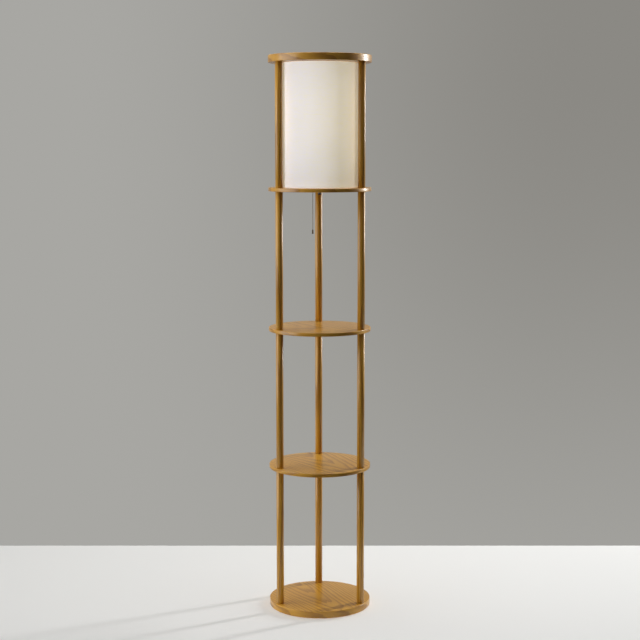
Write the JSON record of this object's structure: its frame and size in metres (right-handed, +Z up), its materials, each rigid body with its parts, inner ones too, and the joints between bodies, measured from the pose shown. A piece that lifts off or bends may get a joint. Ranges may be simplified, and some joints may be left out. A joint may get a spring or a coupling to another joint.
{
  "type": "shelf floor lamp",
  "caption": "Round floor lamp with open shelves: wooden discs on dowel posts carry a linen drum shade with a pull-chain switch.",
  "frame": {"origin": "centre of the round footprint, at the floor under the pads", "axes": "+Z up along the posts, -Y the front with two posts, +X to the right seen from the front"},
  "size_m": [0.292, 0.292, 1.5875],
  "materials": {
    "oak": "golden oak, satin lacquer",
    "linen": "plain woven off-white linen",
    "felt": "pressed felt",
    "white_wire": "white powder coat",
    "zinc_steel": "zinc plated",
    "satin_steel": "satin nickel",
    "phenolic": "moulded, semi-matt",
    "nylon": "moulded, matt",
    "contact_brass": "bright",
    "chain_nickel": "nickel plated",
    "fob_bronze": "antique bronze",
    "bulb_cap_metal": "bright",
    "bulb_opal": "opal white"
  },
  "bodies": {
    "lamp": {"floor_pads": "felt", "base_disc": "oak", "base_bolts": "zinc_steel", "lower_shelf": "oak", "lower_shelf_studs": "zinc_steel", "upper_shelf": "oak", "upper_shelf_studs": "zinc_steel", "shade_plate": "oak", "shade_plate_studs": "zinc_steel", "top_ring": "oak", "top_ring_studs": "zinc_steel", "shade_drum": "linen", "shade_top_wire": "white_wire", "shade_spider": "white_wire", "lamp_pipe": "zinc_steel", "pipe_washer": "zinc_steel", "lower_pipe_nut": "zinc_steel", "upper_pipe_nut": "zinc_steel", "stem_tube": "satin_steel", "cord_bushing": "nylon", "socket_cap": "phenolic", "socket_body": "phenolic", "screw_shell": "contact_brass", "centre_contact": "contact_brass", "lever_pin": "contact_brass", "bulb_cap": "bulb_cap_metal", "bulb_globe": "bulb_opal", "lower_post_back": "oak", "lower_post_left": "oak", "lower_post_right": "oak", "middle_post_back": "oak", "middle_post_left": "oak", "middle_post_right": "oak", "upper_post_back": "oak", "upper_post_left": "oak", "upper_post_right": "oak", "shade_post_back": "oak", "shade_post_left": "oak", "shade_post_right": "oak"},
    "chain": {"upper_chain": "chain_nickel"},
    "pendant": {"lower_chain": "chain_nickel", "chain_fob": "fob_bronze"},
    "lever": {"pull_lever": "contact_brass"}
  },
  "joints": [
    {"name": "chain_pull", "type": "slide", "parent": "lamp", "child": "chain", "axis": [0, 0, -1], "range_m": [0, 0.007], "stiffness_N_per_m": 300, "springref_m": -0.006},
    {"name": "chain_swing", "type": "hinge", "parent": "chain", "child": "pendant", "pos_m": [-0.02, 0, 1.206], "axis": [0, 1, 0], "range_deg": [-30, 30]},
    {"name": "lever_tilt", "type": "hinge", "parent": "lamp", "child": "lever", "pos_m": [-0.004, 0, 1.3075], "axis": [0, -1, 0], "range_deg": [0, 25.12]}
  ],
  "couplings": [
    {"joint": "lever_tilt", "follows": "chain_pull", "rad_per_m": 62.5}
  ]
}
